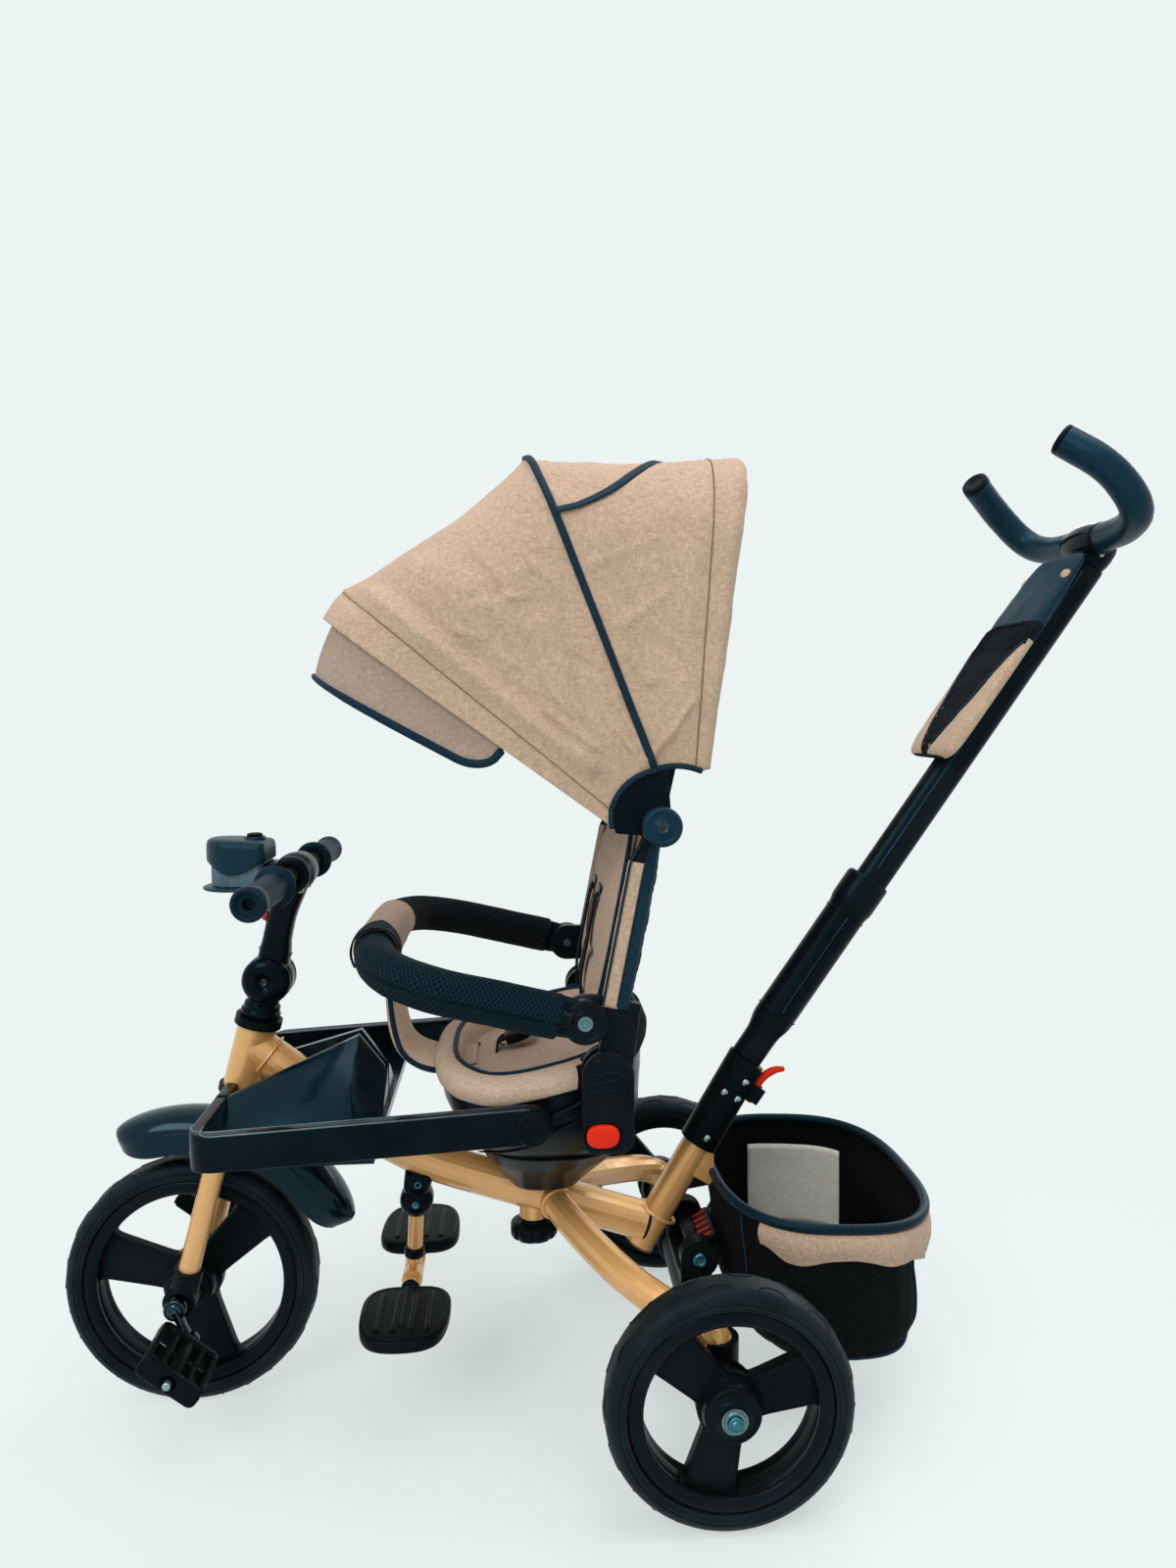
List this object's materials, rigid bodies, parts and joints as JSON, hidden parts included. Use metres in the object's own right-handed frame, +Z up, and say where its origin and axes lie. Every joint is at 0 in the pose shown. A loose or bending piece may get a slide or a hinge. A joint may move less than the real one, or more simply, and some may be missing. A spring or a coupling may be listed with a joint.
{
  "type": "children's push tricycle",
  "caption": "Children's push tricycle: steering front wheel with pedals, bucket seat with reclining back, lifting safety bar, folding canopy, rear basket and telescopic push bar.",
  "frame": {"origin": "centre of the bounding box on the floor, at the tyres' lowest points", "axes": "+X forward along the direction of travel, +Y to the rider's left, +Z up"},
  "size_m": [1.24, 0.544, 1.1026],
  "materials": {
    "gold_paint": "satin sand-gold powder coat",
    "black_plastic": "satin black moulding",
    "gloss_black": "glossy black moulding",
    "grip_foam": "dense black foam and rubber",
    "tyre_black": "moulded EVA tyre",
    "beige_fabric": "woven linen-look polyester",
    "black_fabric": "black woven fabric",
    "red_plastic": "glossy red moulding",
    "chrome_metal": "bright plated steel",
    "black_steel": "satin black paint",
    "lamp_lens": "clear ribbed lens"
  },
  "bodies": {
    "chassis": {"main_frame": "gold_paint", "headset_cups": "black_plastic", "axle_caps": "black_plastic", "console_tray": "gloss_black", "guard_rails": "gloss_black", "rail_knobs": "black_plastic", "footrest_bracket": "black_steel", "seat_base": "black_plastic", "seat_shell": "black_plastic", "seat_liner": "beige_fabric", "recline_housings": "black_plastic", "rear_axle": "chrome_metal", "brake_housing": "black_plastic", "basket_rim": "black_steel", "basket": "black_fabric", "push_sleeve": "black_plastic", "push_casing": "black_plastic"},
    "steering": {"fork": "gold_paint", "fork_boots": "black_plastic", "front_fender": "gloss_black", "stem_knuckle": "black_plastic"},
    "handlebar_unit": {"stem": "black_steel", "handlebar": "black_steel", "grips": "grip_foam", "headlight_body": "gloss_black", "headlight_lens": "lamp_lens"},
    "stem_button": {"stem_button": "red_plastic"},
    "lamp_button": {"headlight_button": "black_plastic"},
    "front_wheel": {"front_rim": "black_plastic", "front_tyre": "tyre_black", "crank": "chrome_metal"},
    "pedal_left": {"pedal_left": "black_plastic"},
    "pedal_right": {"pedal_right": "black_plastic"},
    "rear_wheel_left": {"rear_rim_left": "black_plastic", "rear_tyre_left": "tyre_black"},
    "rear_wheel_right": {"rear_rim_right": "black_plastic", "rear_tyre_right": "tyre_black"},
    "footrest": {"footrest_strut": "gold_paint", "footrest_pads": "black_plastic"},
    "frame_knob": {"frame_knob": "black_plastic"},
    "backrest": {"backrest_frame": "black_plastic", "back_pad": "beige_fabric", "bar_bolts": "chrome_metal", "canopy_hubs": "black_plastic", "rear_bow": "black_steel", "canopy_rear_panel": "beige_fabric"},
    "recline_button_left": {"recline_button_left": "red_plastic"},
    "recline_button_right": {"recline_button_right": "red_plastic"},
    "safety_bar": {"safety_bar": "black_steel", "bar_padding": "grip_foam"},
    "mid_canopy": {"mid_bow": "black_steel"},
    "front_canopy": {"front_bow": "black_steel", "canopy_front_panel": "beige_fabric"},
    "visor": {"visor": "beige_fabric"},
    "brake_pedal": {"brake_pedal": "red_plastic"},
    "latch_lever": {"latch_lever": "red_plastic"},
    "push_slider": {"push_tube": "black_steel", "push_bracket": "black_plastic", "push_grips": "grip_foam", "push_pouch": "beige_fabric"}
  },
  "joints": [
    {"name": "steer", "type": "hinge", "parent": "chassis", "child": "steering", "pos_m": [0.47753, 0, 0.1425], "axis": [-0.2588, 0, 0.9659], "range_deg": [-40, 40]},
    {"name": "handlebar_fold", "type": "hinge", "parent": "steering", "child": "handlebar_unit", "pos_m": [0.38325, 0, 0.49439], "axis": [0, 1, 0], "range_deg": [0, 75]},
    {"name": "stem_button_press", "type": "slide", "parent": "handlebar_unit", "child": "stem_button", "axis": [0.9659, 0, 0.2588], "range_m": [-0.004, 0], "stiffness_N_per_m": 400},
    {"name": "lamp_button_press", "type": "slide", "parent": "handlebar_unit", "child": "lamp_button", "axis": [0, 0, 1], "range_m": [-0.003, 0], "stiffness_N_per_m": 600},
    {"name": "front_wheel_spin", "type": "hinge", "parent": "steering", "child": "front_wheel", "pos_m": [0.47753, 0, 0.1425], "axis": [0, 1, 0], "continuous": true},
    {"name": "pedal_left_spin", "type": "hinge", "parent": "front_wheel", "child": "pedal_left", "pos_m": [0.46255, 0.111, 0.10541], "axis": [0, 1, 0], "continuous": true},
    {"name": "pedal_right_spin", "type": "hinge", "parent": "front_wheel", "child": "pedal_right", "pos_m": [0.49252, -0.111, 0.17959], "axis": [0, 1, 0], "continuous": true},
    {"name": "rear_left_spin", "type": "hinge", "parent": "chassis", "child": "rear_wheel_left", "pos_m": [-0.10597, 0.2412, 0.123], "axis": [0, 1, 0], "continuous": true},
    {"name": "rear_right_spin", "type": "hinge", "parent": "chassis", "child": "rear_wheel_right", "pos_m": [-0.10597, -0.2412, 0.123], "axis": [0, 1, 0], "continuous": true},
    {"name": "footrest_fold", "type": "hinge", "parent": "chassis", "child": "footrest", "pos_m": [0.21803, 0, 0.226], "axis": [0, 1, 0], "range_deg": [0, 60]},
    {"name": "knob_turn", "type": "hinge", "parent": "chassis", "child": "frame_knob", "pos_m": [0.08003, 0, 0.188], "axis": [0, 0, 1], "continuous": true},
    {"name": "recline", "type": "hinge", "parent": "chassis", "child": "backrest", "pos_m": [0.00603, 0, 0.408], "axis": [0, 1, 0], "range_deg": [-20, 0]},
    {"name": "recline_button_left_press", "type": "slide", "parent": "chassis", "child": "recline_button_left", "axis": [0, 1, 0], "range_m": [-0.004, 0], "stiffness_N_per_m": 500},
    {"name": "recline_button_right_press", "type": "slide", "parent": "chassis", "child": "recline_button_right", "axis": [0, -1, 0], "range_m": [-0.004, 0], "stiffness_N_per_m": 500},
    {"name": "safety_bar_lift", "type": "hinge", "parent": "backrest", "child": "safety_bar", "pos_m": [0.02973, 0, 0.4903], "axis": [0, 1, 0], "range_deg": [-45, 0]},
    {"name": "canopy_mid_fold", "type": "hinge", "parent": "backrest", "child": "mid_canopy", "pos_m": [-0.04855, 0, 0.68365], "axis": [0, 1, 0], "range_deg": [-28, 0], "deforming": ["canopy_rear_panel"]},
    {"name": "canopy_front_fold", "type": "hinge", "parent": "mid_canopy", "child": "front_canopy", "pos_m": [-0.04855, 0, 0.68365], "axis": [0, 1, 0], "range_deg": [-30.8, 0], "deforming": ["canopy_front_panel"]},
    {"name": "visor_fold", "type": "hinge", "parent": "front_canopy", "child": "visor", "pos_m": [0.09203, 0, 0.786], "axis": [0, 1, 0], "range_deg": [-20, 0], "deforming": ["visor"]},
    {"name": "brake_press", "type": "hinge", "parent": "chassis", "child": "brake_pedal", "pos_m": [-0.10997, 0, 0.168], "axis": [0, 1, 0], "range_deg": [-20, 0], "stiffness_Nm_per_rad": 4},
    {"name": "latch_pull", "type": "hinge", "parent": "chassis", "child": "latch_lever", "pos_m": [-0.18759, 0, 0.33939], "axis": [0, 1, 0], "range_deg": [-25, 0], "stiffness_Nm_per_rad": 1},
    {"name": "push_bar_slide", "type": "slide", "parent": "chassis", "child": "push_slider", "axis": [0.5707, 0, -0.8211], "range_m": [0, 0.12]}
  ],
  "couplings": [
    {"joint": "canopy_front_fold", "follows": "canopy_mid_fold", "ratio": 1.1}
  ]
}
